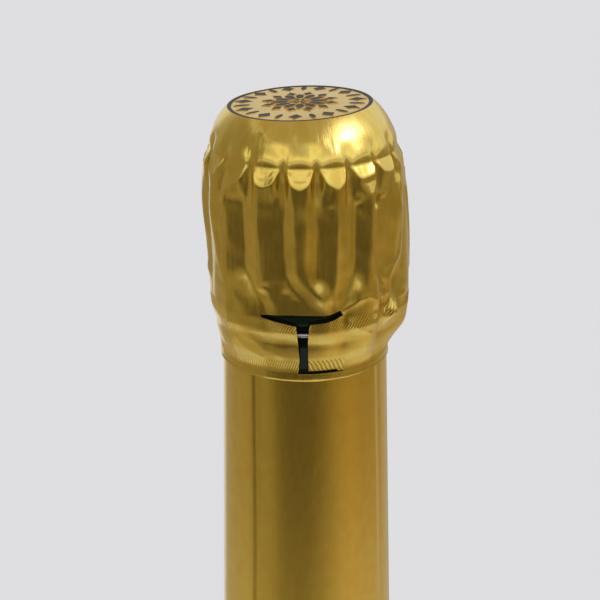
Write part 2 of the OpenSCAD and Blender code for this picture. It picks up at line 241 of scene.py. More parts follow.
LOWER_WALL_GLOW = [
    (-180, (0.28, 0.23, 0.14)), (-160, (0.26, 0.22, 0.125)), (-146, (0.26, 0.22, 0.12)),
    (-138, (0.10, 0.083, 0.045)), (-115, (0.09, 0.074, 0.042)), (-90, (0.088, 0.073, 0.042)),
    (-72, (0.095, 0.078, 0.042)), (-62, (0.12, 0.095, 0.048)), (-54, (0.21, 0.16, 0.07)),
    (-30, (0.23, 0.185, 0.08)), (0, (0.235, 0.19, 0.085)), (25, (0.26, 0.21, 0.11)),
    (45, (0.34, 0.29, 0.20)), (66, (0.42, 0.39, 0.34)), (120, (0.30, 0.26, 0.19)),
    (145, (0.27, 0.23, 0.14)), (180, (0.28, 0.23, 0.14))]
UPPER_WALL_GLOW = [
    (-180, (0.30, 0.25, 0.15)), (-150, (0.28, 0.235, 0.13)), (-120, (0.25, 0.21, 0.11)),
    (-90, (0.235, 0.195, 0.10)), (-60, (0.25, 0.205, 0.10)), (-30, (0.27, 0.22, 0.11)),
    (10, (0.28, 0.23, 0.125)), (45, (0.38, 0.33, 0.24)), (66, (0.44, 0.41, 0.36)),
    (130, (0.34, 0.29, 0.22)), (180, (0.30, 0.25, 0.15))]
WINDOW_GLOW = [
    (-170, (0.30, 0.255, 0.16)), (-166, (0.42, 0.37, 0.26)), (-156, (0.95, 0.92, 0.84)), (-90, (1.0, 0.97, 0.88)),
    (-30, (1.0, 0.98, 0.92)), (6, (0.9, 0.84, 0.74))]
FAR_WALL_GLOW = [(-180, (0.27, 0.23, 0.14)), (-150, (0.28, 0.24, 0.15)), (128, (0.42, 0.40, 0.36)),
            (160, (0.29, 0.25, 0.16))]


def dimmed(stops, share):
    return [(at, tuple(min(1.0, share * v) for v in colour)) for at, colour in stops]


# Cards that glow with painted reflections, lighting nothing: the table round the foot, the walls, a far wall at the
# back and windows high at the front.
painted_reflection_card("table_card", 0.24, 0.5, 0.002, 0.085, -237, 80,
          [(0.002, dimmed(TABLE_EDGE_GLOW, 1.1)), (0.025, TABLE_EDGE_GLOW), (0.066, TABLE_SIDE_GLOW), (0.085, TABLE_SIDE_GLOW)])
painted_reflection_card("wall_card", 0.5, 0.5, 0.085, 0.345, -237, 80,
          [(0.085, LOWER_WALL_GLOW), (0.195, LOWER_WALL_GLOW), (0.235, UPPER_WALL_GLOW), (0.345, UPPER_WALL_GLOW)])
painted_reflection_card("side_card", 0.6, 0.6, 0.33, 0.95, 128, 212, [(0.33, FAR_WALL_GLOW)])
painted_reflection_card("window_card", 0.8, 0.8, 0.50, 1.2, -170, 8,
          [(at, dimmed(WINDOW_GLOW, share)) for at, share in
           ((0.50, 0.3), (0.64, 0.88), (0.82, 1.0), (1.0, 0.68), (1.2, 0.42))])
# A disc over the table that glows with a painted reflection of a dim brownish ceiling, seen only in the foil.
nothing_selected()
bpy.ops.mesh.primitive_circle_add(vertices=64, radius=0.8, fill_type="NGON", location=(0, 0, 1.28))
ceiling = bpy.context.object
ceiling.name = "top_card"
top_card, tree, shader = new_material("top_card")
tree.nodes.remove(shader)
ceiling_glow = add_node(tree, "Emission", {"Color": (0.41, 0.355, 0.26, 1)})
tree.links.new(ceiling_glow.outputs[0], tree.nodes["Material Output"].inputs[0])
ceiling.data.materials.append(top_card)
ceiling.visible_camera = ceiling.visible_diffuse = ceiling.visible_shadow = False


# Bottle: thick dark green glass, blown in a mould with a deep punt and a ring under the lip.
def node_object(name):
    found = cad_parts[name]
    return bpy.data.objects[found] if isinstance(found, str) else found


def dress(name, material):
    piece = node_object(name)
    piece.data.materials.clear()
    piece.data.materials.append(material)


glass, tree, shader = new_material("green_glass")
object_place = add_node(tree, "TexCoord").outputs["Object"]
ripple = add_node(tree, "TexNoise", {"Vector": object_place, "Scale": 30, "Detail": 2})
tree.links.new(ramp_of(tree, ripple.outputs["Fac"], [(0.3, (0.004, 0.010, 0.004)), (0.7, (0.007, 0.016, 0.006))]),
               shader.inputs["Base Color"])
shader.inputs["Roughness"].default_value = 0.05
shader.inputs["IOR"].default_value = 1.52
shader.inputs["Transmission Weight"].default_value = 0.2
shader.inputs["Specular IOR Level"].default_value = 0.15
relief = add_node(tree, "Bump", {"Distance": 0.2 * MM, "Height": ripple.outputs["Fac"]})
tree.links.new(relief.outputs[0], shader.inputs["Normal"])
dress("bottle_glass", glass)


# Wine: pale gold, filled to a hand's breadth under the lip.
wine_tint, tree, shader = new_material("pale_wine")
object_place = add_node(tree, "TexCoord").outputs["Object"]
haze = add_node(tree, "TexNoise", {"Vector": object_place, "Scale": 12})
tree.links.new(ramp_of(tree, haze.outputs["Fac"], [(0.3, (0.86, 0.72, 0.36)), (0.7, (0.9, 0.77, 0.42))]),
               shader.inputs["Base Color"])
shader.inputs["Roughness"].default_value = 0.02
shader.inputs["IOR"].default_value = 1.34
shader.inputs["Transmission Weight"].default_value = 1.0
dress("wine", wine_tint)


# Cork: grains of cork pressed and glued into a plug, whose head is squeezed to a mushroom, with two
# discs of whole cork glued under it.
def cork_material(name, grain_scale, light, dark, pores):
    material, tree, shader = new_material(name)
    place = add_node(tree, "TexCoord").outputs["Object"]
    cells = add_node(tree, "TexVoronoi", {"Vector": place, "Scale": grain_scale})
    fine = add_node(tree, "TexNoise", {"Vector": place, "Scale": grain_scale * 3.5, "Detail": 6})
    tone = add_node(tree, "SeparateColor", {0: cells.outputs["Color"]})
    mixed = reckon(tree, "MULTIPLY", tone.outputs[0], 0.55)
    mixed = reckon(tree, "MULTIPLY_ADD", fine.outputs["Fac"], 0.45, mixed)
    pale = tuple(c * 1.15 for c in light)
    tree.links.new(ramp_of(tree, mixed, [(0.15, dark), (0.5, light), (0.85, pale)]), shader.inputs["Base Color"])
    shader.inputs["Roughness"].default_value = 0.85
    holes = ramp_of(tree, fine.outputs["Fac"], [(0.28, 0.0), (0.28 + pores, 1.0)])
    edges = reckon(tree, "MULTIPLY_ADD", cells.outputs["Distance"], -0.6, 1.0)
    relief = add_node(tree, "Bump", {"Distance": 0.25 * MM, "Height": reckon(tree, "MULTIPLY", holes, edges)})
    tree.links.new(relief.outputs[0], shader.inputs["Normal"])
    return material


grains = cork_material("pressed_cork", 420, (0.58, 0.38, 0.21), (0.30, 0.17, 0.08), 0.12)
whole_cork = cork_material("whole_cork", 700, (0.62, 0.42, 0.24), (0.36, 0.21, 0.11), 0.2)
dress("cork_body", grains)
dress("cork_disc_upper", whole_cork)
dress("cork_disc_lower", whole_cork)


# Cap: a disc of printed tinplate pressed over the cork's head. A dark line runs round its face, with
# a ring of raised diamonds and bars inside it and a rosette in the middle, their tops in dark enamel.
LIP = 300.0


def ease(start, end, value):
    t = np.clip((value - start) / (end - start), 0, 1)
    return t * t * (3 - 2 * t)


def turned(name, profile, columns, closed=True):
    """A shape turned about the axis from [radius, height above the lip] points in millimetres."""
    nothing_selected()
    last_r, last_h = profile[0]
    bpy.ops.mesh.primitive_circle_add(vertices=columns, radius=last_r * MM,
                                      location=(0, 0, (LIP + last_h) * MM))
    piece = bpy.context.object
    piece.name = name
    bpy.ops.object.transform_apply(location=True, rotation=True, scale=True)
    bpy.ops.object.mode_set(mode="EDIT")
    bpy.ops.mesh.select_all(action="SELECT")
    for r, h in profile[1:]:
        bpy.ops.mesh.extrude_region_move(TRANSFORM_OT_translate={"value": (0, 0, (h - last_h) * MM)})
        bpy.ops.transform.resize(value=(r / last_r, r / last_r, 1), center_override=(0, 0, (LIP + h) * MM))
        last_r, last_h = r, h
    if closed:
        bpy.ops.mesh.select_all(action="DESELECT")
        bpy.ops.mesh.select_non_manifold()
        bpy.ops.mesh.bridge_edge_loops()
    bpy.ops.mesh.select_all(action="SELECT")
    bpy.ops.mesh.normals_make_consistent(inside=False)
    bpy.ops.object.mode_set(mode="OBJECT")
    bpy.ops.object.shade_smooth_by_angle(angle=math.radians(35))
    return piece


def crown_lean(x, y, h):
    """The cork sits askew: its head leans a little to the left and away, higher at the right."""
    share = ease(12.5, 19.2, h)
    return x - 0.027 * h * share, y + 0.8 * share, h + 0.034 * x * share


def lean_crown(piece):
    spots = np.empty(len(piece.data.vertices) * 3)
    piece.data.vertices.foreach_get("co", spots)
    x, y, z = spots.reshape(-1, 3).T / MM
    x, y, h = crown_lean(x, y, z - LIP)
    piece.data.vertices.foreach_set("co", (np.stack([x, y, h + LIP], 1) * MM).ravel())
    piece.data.update()


FACE_R = [0.4, 3, 7, 10.8, 11.7, 12.05]
FACE_H = [19.5, 19.5, 19.47, 19.40, 19.32, 19.24]
cap_edge = [(14.6, 13.6), (14.95, 13.55), (14.9, 14.0), (14.45, 15.2), (13.8, 16.6), (12.9, 18.1),
            (12.4, 18.8), (12.2, 19.08)]
cap_under = [(0.4, 18.86), (12.0, 18.86), (12.4, 18.3), (13.4, 16.5), (14.0, 15.0)]
cap = turned("cap_plate", cap_edge + list(zip(FACE_R[::-1], FACE_H[::-1])) + cap_under, 160)

plate_gold, tree, shader = new_material("plate_gold")
object_place = add_node(tree, "TexCoord").outputs["Object"]
tiny = add_node(tree, "TexNoise", {"Vector": object_place, "Scale": 2600, "Detail": 3})
cloud = add_node(tree, "TexNoise", {"Vector": object_place, "Scale": 160, "Detail": 4})
tree.links.new(ramp_of(tree, cloud.outputs["Fac"], [(0.3, (0.74, 0.52, 0.13)), (0.7, (0.84, 0.61, 0.17))]),
               shader.inputs["Base Color"])
shader.inputs["Metallic"].default_value = 1.0
tree.links.new(ramp_of(tree, tiny.outputs["Fac"], [(0.3, 0.26), (0.7, 0.38)]), shader.inputs["Roughness"])
relief = add_node(tree, "Bump", {"Distance": 0.015 * MM, "Height": tiny.outputs["Fac"]})
tree.links.new(relief.outputs[0], shader.inputs["Normal"])
shader.inputs["Coat Weight"].default_value = 0.15
shader.inputs["Coat Roughness"].default_value = 0.25
cap.data.materials.append(plate_gold)

enamel, tree, shader = new_material("dark_enamel")
object_place = add_node(tree, "TexCoord").outputs["Object"]
worn = add_node(tree, "TexNoise", {"Vector": object_place, "Scale": 1500, "Detail": 3})
tree.links.new(ramp_of(tree, worn.outputs["Fac"], [(0.35, (0.018, 0.012, 0.010)), (0.75, (0.05, 0.034, 0.024))]),
               shader.inputs["Base Color"])
shader.inputs["Roughness"].default_value = 0.5
shader.inputs["Specular IOR Level"].default_value = 0.3


def raised_mark(name, corners, at_r, at_a, along, across, rise=0.1):
    """A small raised sign on the cap's face, with along and across its sizes in millimetres."""
    nothing_selected()
    bpy.ops.mesh.primitive_cylinder_add(vertices=corners, radius=0.5 * MM, depth=0.3 * MM)
    mark = bpy.context.object
    mark.name = name
    bpy.ops.object.mode_set(mode="EDIT")
    bpy.ops.transform.resize(value=(along, across, 1))
    bpy.ops.mesh.select_all(action="DESELECT")
    bpy.ops.object.mode_set(mode="OBJECT")
    for face in mark.data.polygons:
        face.select = face.normal.z > 0.9
    bpy.ops.object.mode_set(mode="EDIT")
    bpy.ops.mesh.inset(thickness=0.07 * MM, depth=0.05 * MM)
    bpy.ops.object.mode_set(mode="OBJECT")
    mark.data.materials.append(plate_gold)
    mark.data.materials.append(enamel)
    for face in mark.data.polygons:
        face.material_index = 1 if face.select else 0
    top = float(np.interp(at_r, FACE_R, FACE_H))
    mark.matrix_world = (
        Matrix.Rotation(math.radians(at_a), 4, "Z")
        @ Matrix.Translation((at_r * MM, 0, (LIP + top + rise - 0.2) * MM))
    )
    bpy.ops.object.transform_apply(location=True, rotation=True, scale=True)
    return mark


marks = []
for k in range(22):
    corners, along, across = ((4, 3.3, 2.5), (8, 3.0, 1.2))[k % 2]
    marks.append(raised_mark(f"cap_mark_{k}", corners, 9.7, 360 / 22 * k + 4, along, across, 0.08))
for k in range(12):
    marks.append(raised_mark(f"cap_petal_{k}", 8, 3.3, 30 * k, 3.2, 1.6, 0.15))
    marks.append(raised_mark(f"cap_bud_{k}", 4, 5.4, 30 * k + 15, 2.6, 1.8, 0.13))
for k in range(6):
    marks.append(raised_mark(f"cap_heart_{k}", 8, 1.05, 60 * k, 1.3, 0.8, 0.15))
nothing_selected()
for mark in marks:
    mark.select_set(True)
bpy.context.view_layer.objects.active = marks[0]
bpy.ops.object.join()
signs = bpy.context.object
signs.name = "cap_signs"
line = turned("cap_line", [(11.6, 19.26), (11.62, 19.38), (11.74, 19.42), (12.1, 19.42), (12.26, 19.38),
                           (12.38, 19.24), (12.3, 19.1), (11.9, 19.1)], 160)
line.data.materials.append(enamel)
for piece in (cap, signs, line):
    lean_crown(piece)
    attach(piece, "muselet")
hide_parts("plaque")


# Wires: a cage of thin steel wire twisted into four legs, the belt that runs through their eyelets
# under the glass ring, and the belt's twisted ends with the loop that opens it.
def rounded_copy(node, name):
    """The node's own shape with its facets rounded off by one subdivision."""
    nothing_selected()
    copy = bpy.data.objects.new(name, node_object(node).data.copy())
    bpy.context.scene.collection.objects.link(copy)
    copy.data.materials.clear()
    copy.select_set(True)
    bpy.context.view_layer.objects.active = copy
    bpy.ops.object.mode_set(mode="EDIT")
    bpy.ops.mesh.select_all(action="SELECT")
    bpy.ops.mesh.remove_doubles(threshold=0.002 * MM)
    bpy.ops.mesh.tris_convert_to_quads()
    bpy.ops.object.mode_set(mode="OBJECT")
    rounder = copy.modifiers.new("round", "SUBSURF")
    rounder.levels = rounder.render_levels = 1
    bpy.ops.object.modifier_apply(modifier="round")
    bpy.ops.object.shade_smooth()
    return copy


steel, tree, shader = new_material("drawn_wire")
object_place = add_node(tree, "TexCoord").outputs["Object"]
drawn = add_node(tree, "TexNoise", {"Vector": object_place, "Scale": 1800, "Detail": 4})
tree.links.new(ramp_of(tree, drawn.outputs["Fac"], [(0.3, (0.62, 0.62, 0.64)), (0.7, (0.78, 0.78, 0.81))]),
               shader.inputs["Base Color"])
shader.inputs["Metallic"].default_value = 1.0
tree.links.new(ramp_of(tree, drawn.outputs["Fac"], [(0.3, 0.32), (0.7, 0.46)]), shader.inputs["Roughness"])
for node in ("wire_cage", "belt_wire", "twist_loop"):
    wire = rounded_copy(node, node + "_round")
    wire.data.materials.append(steel)
    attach(wire, "muselet")
    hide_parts(node)


# Neck foil: a sleeve of satin foil, its ends lapped at the back, glued smooth round the neck and on
# to the shoulder before the hood goes over it.
def shoulder_point(share, out):
    """A point of the shoulder from 0 at the body to 1 at the neck, moved outwards by out."""
    taper = (15.35 - 14.05) / (277 - 221)
    corners = np.array([(44.25, 137), (44.25, 158), (15.35 + taper * 21, 200), (15.35, 221)])
    t = share
    weight = np.array([(1 - t) ** 3, 3 * (1 - t) ** 2 * t, 3 * (1 - t) * t * t, t ** 3])
    change = np.array([-3 * (1 - t) ** 2, 3 * (1 - t) ** 2 - 6 * (1 - t) * t,
                       6 * (1 - t) * t - 3 * t * t, 3 * t * t])
    place, direction = weight @ corners, change @ corners
    direction = direction / np.linalg.norm(direction)
    return place[0] + out * direction[1], place[1] - out * direction[0] - LIP


def apart(a, b):
    return (a - b + 540) % 360 - 180


def flat_map(piece):
    """A UV map in millimetres, round the neck and up it, with its seam at the back."""
    count = len(piece.data.vertices)
    spots = np.empty(count * 3)
    piece.data.vertices.foreach_get("co", spots)
    spots = spots.reshape(-1, 3) / MM
    turn = np.arctan2(spots[:, 0], -spots[:, 1])
    corners = np.empty(len(piece.data.loops), int)
    piece.data.loops.foreach_get("vertex_index", corners)
    turn = turn[corners].reshape(-1, 4)
    turn = np.where((turn.max(1) - turn.min(1) > math.pi)[:, None] & (turn < 0), turn + 2 * math.pi, turn)
    layer = piece.data.uv_layers.new(name="flat")
    layer.data.foreach_set("uv", np.stack([turn.ravel() * 16.5, spots[corners, 2] - LIP], 1).ravel())


def grain_group():
    """Fine upright streaks of rolled foil and soft cloudy patches, from coordinates in millimetres."""
    group = bpy.data.node_groups.new("foil_grain", "ShaderNodeTree")
    group.interface.new_socket("Vector", in_out="INPUT", socket_type="NodeSocketVector")
    for name in ("Streaks", "Clouds", "Height"):
        group.interface.new_socket(name, in_out="OUTPUT", socket_type="NodeSocketFloat")
    start, end = group.nodes.new("NodeGroupInput"), group.nodes.new("NodeGroupOutput")
    fine = add_node(group, "Mapping", {"Vector": start.outputs[0], "Scale": (3.4, 0.3, 1)})
    streaks = add_node(group, "TexNoise", {"Vector": fine.outputs[0], "Scale": 1.0, "Detail": 4.0})
    wide = add_node(group, "Mapping", {"Vector": start.outputs[0], "Scale": (0.45, 0.3, 1)})
    clouds = add_node(group, "TexNoise", {"Vector": wide.outputs[0], "Scale": 1.0, "Detail": 3.0})
    soft = add_node(group, "TexNoise", {"Vector": start.outputs[0], "Scale": 1.1, "Detail": 2.0})
    height = reckon(group, "MULTIPLY_ADD", soft.outputs["Fac"], 0.6, streaks.outputs["Fac"])
    group.links.new(streaks.outputs["Fac"], end.inputs["Streaks"])
    group.links.new(clouds.outputs["Fac"], end.inputs["Clouds"])
    group.links.new(height, end.inputs["Height"])
    return group


foil_grain = grain_group()


def foil_material(name, yellow, orange, roughness, relief_depth, coat):
    material, tree, shader = new_material(name)
    grain = tree.nodes.new("ShaderNodeGroup")
    grain.node_tree = foil_grain
    tree.links.new(add_node(tree, "UVMap", uv_map="flat").outputs[0], grain.inputs[0])
    shade = ramp_of(tree, grain.outputs["Clouds"], [(0.36, orange), (0.62, yellow)])
    tree.links.new(shade, shader.inputs["Base Color"])
    shader.inputs["Metallic"].default_value = 1.0
    gloss = ramp_of(tree, grain.outputs["Streaks"], [(0.3, roughness - 0.04), (0.7, roughness + 0.05)])
    tree.links.new(gloss, shader.inputs["Roughness"])
    relief = add_node(tree, "Bump", {"Distance": relief_depth * MM, "Height": grain.outputs["Height"]})
    tree.links.new(relief.outputs[0], shader.inputs["Normal"])
    shader.inputs["Coat Weight"].default_value = coat
    shader.inputs["Coat Roughness"].default_value = 0.22
    return material


sleeve_line = [shoulder_point(t, 0.30) for t in np.linspace(0.56, 1, 36)]
sleeve_line += [(15.35 - 1.28 * t + 0.30, -79 + 55 * t) for t in np.linspace(0.08, 1, 14)]
sleeve_inside = [(r - 0.2, h) for r, h in sleeve_line[::-1]]
sleeve = turned("neck_sleeve", sleeve_line + sleeve_inside, 576)
spots = np.empty(len(sleeve.data.vertices) * 3)
sleeve.data.vertices.foreach_get("co", spots)
spots = spots.reshape(-1, 3)
a = np.degrees(np.arctan2(spots[:, 1], spots[:, 0]))
lap = 0.14 * ease(0, 1, apart(a, 84)) * ease(12, 11, apart(a, 84))
soft_waves = 0.012 * np.cos(np.radians(3 * a) + spots[:, 2] * 60) + 0.01 * np.cos(np.radians(7 * a + 40))
fuller = 0.2 * np.exp(-((apart(a, -4) / 50) ** 2))
wandering = apart(a + 0.5 * np.cos(spots[:, 2] * 90), 0)
soft_waves += np.interp(wandering, [-142, -128.4, -125.6, -110, -42, -34, -29.5, -25, -15, 146, 150, 154],
                        [0, 0.18, -0.09, 0, 0, 0.15, -0.08, 0.04, 0, 0, 0.1, 0])
spots[:, :2] *= 1 + (lap + soft_waves + fuller)[:, None] / 15
sleeve.data.vertices.foreach_set("co", spots.ravel())
sleeve.data.update()
flat_map(sleeve)
neck_foil = foil_material("neck_foil", (0.90, 0.67, 0.14), (0.88, 0.62, 0.12), 0.21, 0.012, 0.3)
sleeve.data.materials.append(neck_foil)
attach(sleeve, "bottle")
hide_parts("foil_neck")


# Labels: cream paper with plain gold rules and a gold ornament, glued on the body, and a paper collar
# round the foot of the neck foil.
def paper_material(name, gold_print):
    """Cream paper, with gold wherever the print's nodes say so."""
    material, tree, shader = new_material(name)
    place = add_node(tree, "TexCoord").outputs["Object"]
    fibre = add_node(tree, "TexNoise", {"Vector": place, "Scale": 900, "Detail": 6})
    paper = ramp_of(tree, fibre.outputs["Fac"], [(0.3, (0.80, 0.73, 0.57)), (0.7, (0.87, 0.81, 0.66))])
    gold = gold_print(tree, place)
    colour = add_node(tree, "MixRGB", {0: gold, 1: paper, 2: (0.66, 0.45, 0.13, 1)})
    tree.links.new(colour.outputs[0], shader.inputs["Base Color"])
    tree.links.new(gold, shader.inputs["Metallic"])
    tree.links.new(reckon(tree, "MULTIPLY_ADD", gold, -0.35, 0.7), shader.inputs["Roughness"])
    height = reckon(tree, "MULTIPLY_ADD", gold, 0.8, fibre.outputs["Fac"])
    relief = add_node(tree, "Bump", {"Distance": 0.04 * MM, "Height": height})
    tree.links.new(relief.outputs[0], shader.inputs["Normal"])
    return material


def line_at(tree, value, at, half_width):
    off = reckon(tree, "ABSOLUTE", reckon(tree, "SUBTRACT", value, at))
    return reckon(tree, "LESS_THAN", off, half_width)


def either(tree, *prints):
    total = prints[0]
    for printed in prints[1:]:
        total = reckon(tree, "MAXIMUM", total, printed)
    return total


def label_print(half_w, half_h, middle=0.083):
    """Two rules round the label's edge, two ovals and a diamond in its middle."""
    def draw(tree, place):
        xyz = add_node(tree, "SeparateXYZ", {0: place})
        angle = reckon(tree, "ARCTAN2", xyz.outputs["X"], reckon(tree, "ABSOLUTE", xyz.outputs["Y"]))
        x = reckon(tree, "ABSOLUTE", reckon(tree, "MULTIPLY", angle, 0.0443))
        z = reckon(tree, "ABSOLUTE", reckon(tree, "SUBTRACT", xyz.outputs["Z"], middle))
        side = reckon(tree, "SUBTRACT", x, half_w - 4 * MM)
        end = reckon(tree, "SUBTRACT", z, half_h - 4 * MM)
        out = reckon(tree, "MAXIMUM", side, end)
        wide = reckon(tree, "MULTIPLY", x, 1 / (half_w * 0.52))
        tall = reckon(tree, "MULTIPLY", z, 1 / (half_h * 0.42))
        square = reckon(tree, "ADD", reckon(tree, "MULTIPLY", wide, wide), reckon(tree, "MULTIPLY", tall, tall))
        ring = reckon(tree, "SQRT", square)
        corner = reckon(tree, "ADD", wide, tall)
        return either(tree, line_at(tree, out, 0.0, 0.35 * MM), line_at(tree, out, -1.4 * MM, 0.13 * MM),
                      line_at(tree, ring, 1.0, 0.022), line_at(tree, ring, 0.9, 0.01),
                      line_at(tree, corner, 0.24, 0.07))
    return draw


def collar_print(tree, place):
    z = add_node(tree, "SeparateXYZ", {0: place}).outputs["Z"]
    return either(tree, line_at(tree, z, 0.1770, 0.5 * MM), line_at(tree, z, 0.1865, 0.5 * MM),
                  line_at(tree, z, 0.1785, 0.15 * MM), line_at(tree, z, 0.1850, 0.15 * MM))


dress("front_label", paper_material("front_paper", label_print(46 * MM, 35 * MM)))
dress("back_label", paper_material("back_paper", label_print(29 * MM, 23 * MM)))
dress("collar_label", paper_material("collar_paper", collar_print))


# Hood: thin aluminium foil lacquered gold, drawn down over the cap and the wires and pressed into
# pleats round the cork's head. It is open round the cap's face and cut off at the tear strip.
FRONT_CRESTS = [-133.4, -113.2, -92.0, -70.6, -50.8, -33.0]
FRONT_VALLEYS = [-123.0, -102.2, -82.4, -63.2, -43.6]
PLEATS = 18
LEGS_AT = (40, 130, 220, 310)
LOOP_AT = -5.0
shuffle = np.random.default_rng(7)


def smooth_line(points, spread=0.6):
    """A line through [height, value] points, rounded off at its corners, as a function of height."""
    heights = np.arange(-30, 24, 0.05)
    points = sorted(points)
    values = np.interp(heights, [p[0] for p in points], [p[1] for p in points])
    reach = np.arange(-3 * spread, 3 * spread + 0.01, 0.05)
    weight = np.exp(-((reach / spread) ** 2))
    ends = len(reach) // 2
    values = np.convolve(np.pad(values, ends, mode="edge"), weight / weight.sum(), mode="valid")
    return lambda h: np.interp(h, heights, values[: len(heights)])


def bump(a, at, width):
    return np.exp(-((apart(a, at) / width) ** 2))


def soft_least(a, b, k):
    t = np.clip(0.5 + 0.5 * (b - a) / k, 0, 1)
    return b + (a - b) * t - k * t * (1 - t)


crown_line = smooth_line([(9.0, 15.9), (12.5, 15.84), (13.4, 15.92), (14.2, 15.8), (14.9, 15.52), (15.5, 15.2), (16.5, 14.72),
                          (17.5, 14.08), (18.4, 13.35), (19.0, 12.75), (19.39, 12.33), (20.2, 11.3)], 0.4)
groove_line = smooth_line([(4, 16.2), (9, 15.85), (12.3, 15.62), (14.0, 15.55), (16, 15.4)], 0.3)
valley_line = smooth_line([(12.6, 15.85), (9, 15.85), (6.5, 15.93), (3.5, 15.98), (0, 15.9), (-3, 15.85), (-6.2, 15.82), (-8.2, 15.95),
                           (-10, 16.15), (-14.2, 16.2), (-15.8, 16.12), (-17, 15.75), (-18.1, 15.42),
                           (-19.4, 15.4), (-20.4, 15.28), (-21.6, 15.0), (-22.9, 14.76), (-25, 14.74)], 0.4)
ridge_line = smooth_line([(12.5, 1.2), (9.2, 1.25), (7.2, 1.42), (5, 1.58), (3.2, 1.64), (1.5, 1.6), (0, 1.5), (-3.6, 1.2), (-5.8, 1.1),
                          (-8, 0.85), (-10, 0.42), (-12, 0.3), (-14.7, 0.2), (-17, 0.1), (-20, 0.03),
                          (-23, 0)], 0.9)
over_leg = smooth_line([(-23, 14.75), (-21.4, 15.5), (-19.8, 16.25), (-18.4, 16.65), (-16.6, 16.95),
                        (-15.2, 17.55), (7.8, 17.6), (9.4, 17.18), (11, 16.6), (12.6, 15.7), (14, 14),
                        (23, 9)], 0.35)
over_loop = smooth_line([(-23, 14.85), (-21.8, 15.7), (-20.6, 16.6), (-19.4, 17.5), (-18.2, 17.92), (-15.9, 18.2),
                         (-14, 18.3), (-8, 18.2), (-1.5, 18.05), (4, 17.8), (6, 17.6), (8, 17.2), (10.2, 16.95),
                         (12.6, 15.6), (14, 14), (23, 9)], 0.4)

gap_behind = FRONT_CRESTS[0] + 360 - FRONT_CRESTS[-1]
spare = PLEATS - len(FRONT_CRESTS) + 1
crests = list(FRONT_CRESTS)
crests += [FRONT_CRESTS[-1] + gap_behind * k / spare + shuffle.uniform(-2.2, 2.2) for k in range(1, spare)]
crests += [FRONT_CRESTS[0] + 360]
valleys = FRONT_VALLEYS + [(crests[k] + crests[k + 1]) / 2 for k in range(len(FRONT_VALLEYS), PLEATS)]
knots = np.array([crests[0]] + [at for pair in zip(valleys, crests[1:]) for at in pair])
pleat_size = shuffle.uniform(0.85, 1.05, PLEATS + 1)
pleat_size[:6], pleat_size[-1] = 1.0, 1.0


def pleat_phase(a):
    """How far round the pleats an azimuth is, a whole number on each crest."""
    return np.interp((a - knots[0]) % 360 + knots[0], knots, np.arange(len(knots)) / 2)


# The front's flat folds under the tongues, as lines between them: their azimuths at four heights (4, -4,
# -8 and -12 mm under the lip), and their rise from 0 in a valley to 1 on a crest, or 9 on a cage's leg.
FOLD_AT = (4, -5.5, -8, -12)
FOLDS = [
    ((-190, -190, -190, -190), 0.5), ((-181, -181, -181, -181), 0.98), ((-174, -174, -174, -174), 0.9),
    ((-166, -165, -164, -164), 0.35), ((-154.5, -149.8, -148, -146.5), 0.9), ((-152.8, -148.4, -147, -145.5), 0.9),
    ((-147, -145.2, -144, -142.5), 0.5), ((-141.2, -141.6, -140.9, -139.2), 9), ((-139, -139.4, -138.9, -137.4), 9),
    ((-127.2, -127, -121.5, -113), 0.0), ((-117.4, -117.2, -112.5, -105.5), 0.6), ((-101.8, -101, -97.5, -84.5), 0.06),
    ((-94.9, -94.4, -87.5, -75.5), 0.78), ((-90.5, -90, -84.8, -74.3), 0.8), ((-86, -85.5, -82.5, -73.4), 0.47),
    ((-82, -81.6, -80, -72.6), 0.22), ((-78, -77.8, -76.2, -72.2), 0.36), ((-75, -74.8, -74, -71.8), 0.5),
    ((-71.5, -71.7, -72, -71.3), 0.86), ((-69.6, -69.6, -70, -70.8), 0.84), ((-67.2, -67.4, -68.6, -70.2), 0.56),
    ((-65.2, -65.4, -67.4, -69.6), 0.34), ((-62, -62, -65, -68.8), 0.27), ((-58.6, -58.8, -61, -66.5), 0.03),
    ((-51.8, -51.5, -50.9, -50.6), 9), ((-49.4, -47.8, -46.5, -44.5), 9), ((-44.8, -42.5, -40.5, -38.5), 0.35),
    ((-34, -33, -35, -37.5), 0.62), ((-26.2, -27.2, -32.8, -36.8), 1.2), ((-18, -17, -20, -22), 0.9)]


def fold_height(a, h, valley, ridge):
    """The radius of the front's folds."""
    a = (a - 170) % 360 - 190
    leg = over_leg(h)
    total = 0
    for k, (at, rise) in enumerate(FOLDS):
        here = sum(np.interp(h + up, FOLD_AT[::-1], at[::-1]) for up in (-1, -0.5, 0, 0.5, 1)) / 5
        value = leg if rise == 9 else valley + ridge * rise
        if k == 0:
            total = value + 0 * a
        else:
            total = total + (value - value_before) * np.clip((a - before) / (here - before), 0, 1)
        before, value_before = here, value
    return total


